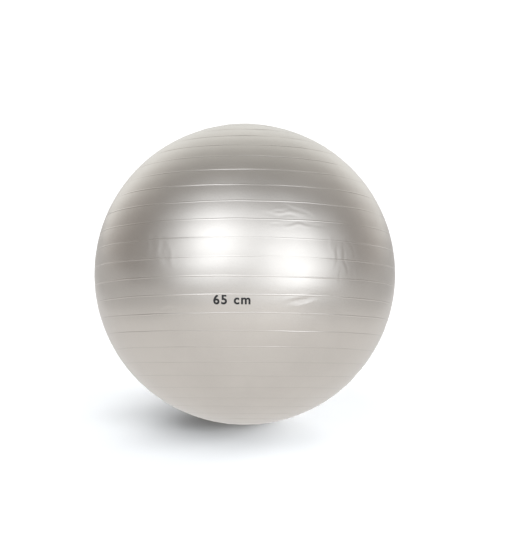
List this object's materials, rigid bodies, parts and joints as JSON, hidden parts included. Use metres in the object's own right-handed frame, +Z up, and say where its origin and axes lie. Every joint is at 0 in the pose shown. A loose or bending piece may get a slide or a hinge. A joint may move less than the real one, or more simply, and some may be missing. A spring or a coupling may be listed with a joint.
{
  "type": "exercise ball",
  "caption": "Inflated vinyl exercise ball with fine parallel anti-slip ribs and a push-in valve plug that pulls out.",
  "frame": {"origin": "centre of the flat patch that the ball rests on, on the floor", "axes": "+Z up, -Y towards the viewer, +X to the viewer's right; the axis of the ribs and the valve leans 17 degrees back from +Z towards +Y"},
  "size_m": [0.6512, 0.6509, 0.6485],
  "materials": {
    "pearl_vinyl": "satin",
    "soft_vinyl": "satin",
    "plug_vinyl": "satin"
  },
  "bodies": {
    "ball": {"ball_shell": "pearl_vinyl", "valve_seat": "soft_vinyl"},
    "plug": {"valve_plug": "plug_vinyl"}
  },
  "joints": [
    {"name": "plug_pull", "type": "slide", "parent": "ball", "child": "plug", "axis": [0, 0.2924, 0.9563], "range_m": [0, 0.04]}
  ]
}
